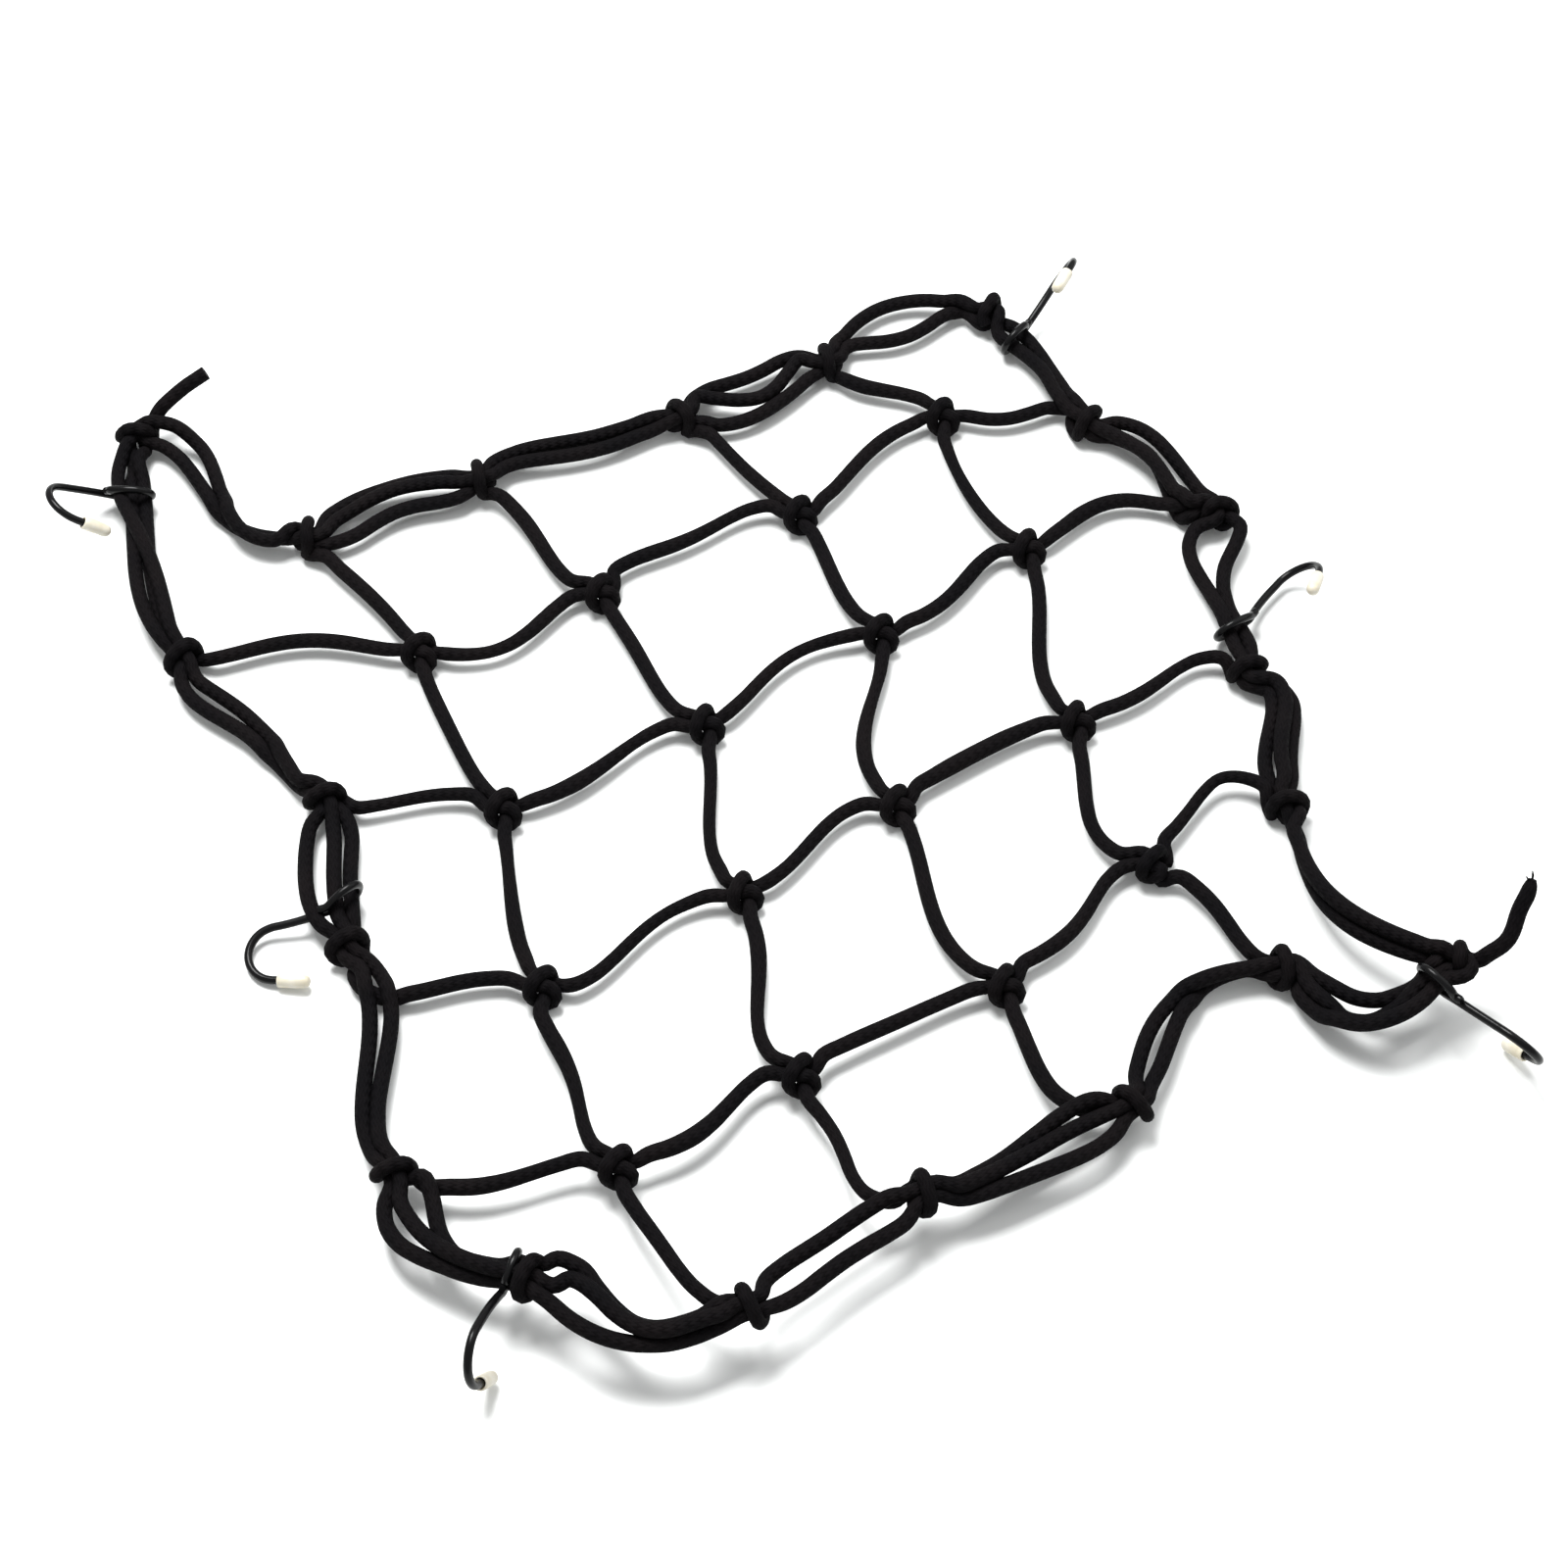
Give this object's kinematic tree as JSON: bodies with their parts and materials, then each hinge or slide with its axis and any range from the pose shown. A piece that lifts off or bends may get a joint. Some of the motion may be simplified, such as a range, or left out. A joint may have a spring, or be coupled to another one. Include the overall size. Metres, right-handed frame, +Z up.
{
  "type": "elastic luggage net with wire hooks",
  "caption": "Hand-knotted elastic cargo net of round braided cord, lying loose and flat, with bent wire hooks on its edge that have soft caps on their points.",
  "frame": {"origin": "middle of the whole net's outline, on the floor it lies on", "axes": "+Z up, square to the floor; +Y across the net from the near side to the far side, its longer extent; +X along the rows from the left side to the right"},
  "size_m": [0.3512, 0.3939, 0.0403],
  "materials": {
    "cord": "matte black braided elastic cord",
    "hook_wire": "dark plastic-coated steel wire, satin",
    "cap": "soft cream vinyl"
  },
  "bodies": {
    "root": {"cap_1": "cap", "cap_2": "cap", "cap_3": "cap", "cap_4": "cap", "cap_5": "cap", "cap_6": "cap", "column_1_leg_1": "cord", "column_1_leg_2": "cord", "column_1_leg_3": "cord", "column_1_leg_4": "cord", "column_1_leg_5": "cord", "column_2_leg_1": "cord", "column_2_leg_2": "cord", "column_2_leg_3": "cord", "column_2_leg_4": "cord", "column_2_leg_5": "cord", "column_3_leg_1": "cord", "column_3_leg_2": "cord", "column_3_leg_3": "cord", "column_3_leg_4": "cord", "column_3_leg_5": "cord", "column_4_leg_1": "cord", "column_4_leg_2": "cord", "column_4_leg_3": "cord", "column_4_leg_4": "cord", "column_4_leg_5": "cord", "edge_far_1": "cord", "edge_far_2": "cord", "edge_far_3": "cord", "edge_far_4": "cord", "edge_far_5": "cord", "edge_left_1": "cord", "edge_left_2": "cord", "edge_left_3": "cord", "edge_left_4": "cord", "edge_left_5": "cord", "edge_near_1": "cord", "edge_near_2": "cord", "edge_near_3": "cord", "edge_near_4": "cord", "edge_near_5": "cord", "edge_right_1": "cord", "edge_right_2": "cord", "edge_right_3": "cord", "edge_right_4": "cord", "edge_right_5": "cord", "hook_1": "hook_wire", "hook_2": "hook_wire", "hook_3": "hook_wire", "hook_4": "hook_wire", "hook_5": "hook_wire", "hook_6": "hook_wire", "row_1": "cord", "row_2": "cord", "row_3": "cord", "row_4": "cord", "tail_far": "cord", "tail_near": "cord"}
  },
  "joints": []
}
